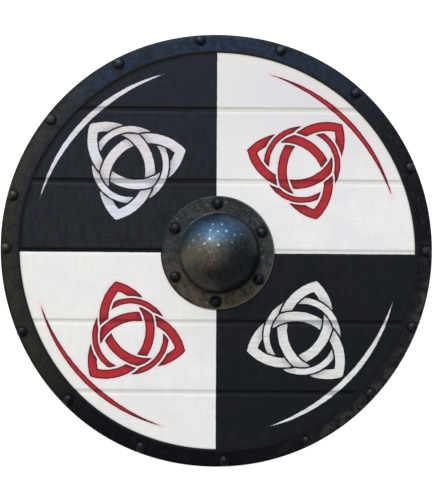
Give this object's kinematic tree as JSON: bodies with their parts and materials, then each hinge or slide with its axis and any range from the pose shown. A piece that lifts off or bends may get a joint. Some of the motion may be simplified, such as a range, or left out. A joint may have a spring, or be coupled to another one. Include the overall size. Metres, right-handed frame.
{
  "type": "wooden round shield",
  "caption": "Round shield of painted boards with a riveted steel rim, a domed steel boss over a hand hole and a wooden grip across the back.",
  "frame": {"origin": "below the middle of the rim, at the underside of the grip: the shield lies face up on its grip", "axes": "+Z out of the face through the boss; +Y to the shield's top edge, along the grip; +X to its right seen from the front, along the boards"},
  "size_m": [0.61, 0.61, 0.0856],
  "materials": {
    "painted_boards": "satin black and white quarters on planed boards, painted knots in off-white and red",
    "bare_wood": "oiled, worn smooth",
    "rim_steel": "blackened, satin, worn on the edge",
    "boss_steel": "hammered, browned and oiled, with bright spots",
    "rivet_steel": "blackened, hammered heads"
  },
  "bodies": {
    "root": {"board_1": "painted_boards", "board_2": "painted_boards", "board_3": "painted_boards", "board_4": "painted_boards", "board_5": "painted_boards", "board_6": "painted_boards", "rim": "rim_steel", "boss": "boss_steel", "grip": "bare_wood", "rim_rivet_01": "rivet_steel", "rim_rivet_02": "rivet_steel", "rim_rivet_03": "rivet_steel", "rim_rivet_04": "rivet_steel", "rim_rivet_05": "rivet_steel", "rim_rivet_06": "rivet_steel", "rim_rivet_07": "rivet_steel", "rim_rivet_08": "rivet_steel", "rim_rivet_09": "rivet_steel", "rim_rivet_10": "rivet_steel", "rim_rivet_11": "rivet_steel", "rim_rivet_12": "rivet_steel", "rim_rivet_13": "rivet_steel", "rim_rivet_14": "rivet_steel", "rim_rivet_15": "rivet_steel", "rim_rivet_16": "rivet_steel", "boss_rivet_1": "rivet_steel", "boss_rivet_2": "rivet_steel", "boss_rivet_3": "rivet_steel", "boss_rivet_4": "rivet_steel", "boss_rivet_5": "rivet_steel", "boss_rivet_6": "rivet_steel"}
  },
  "joints": []
}
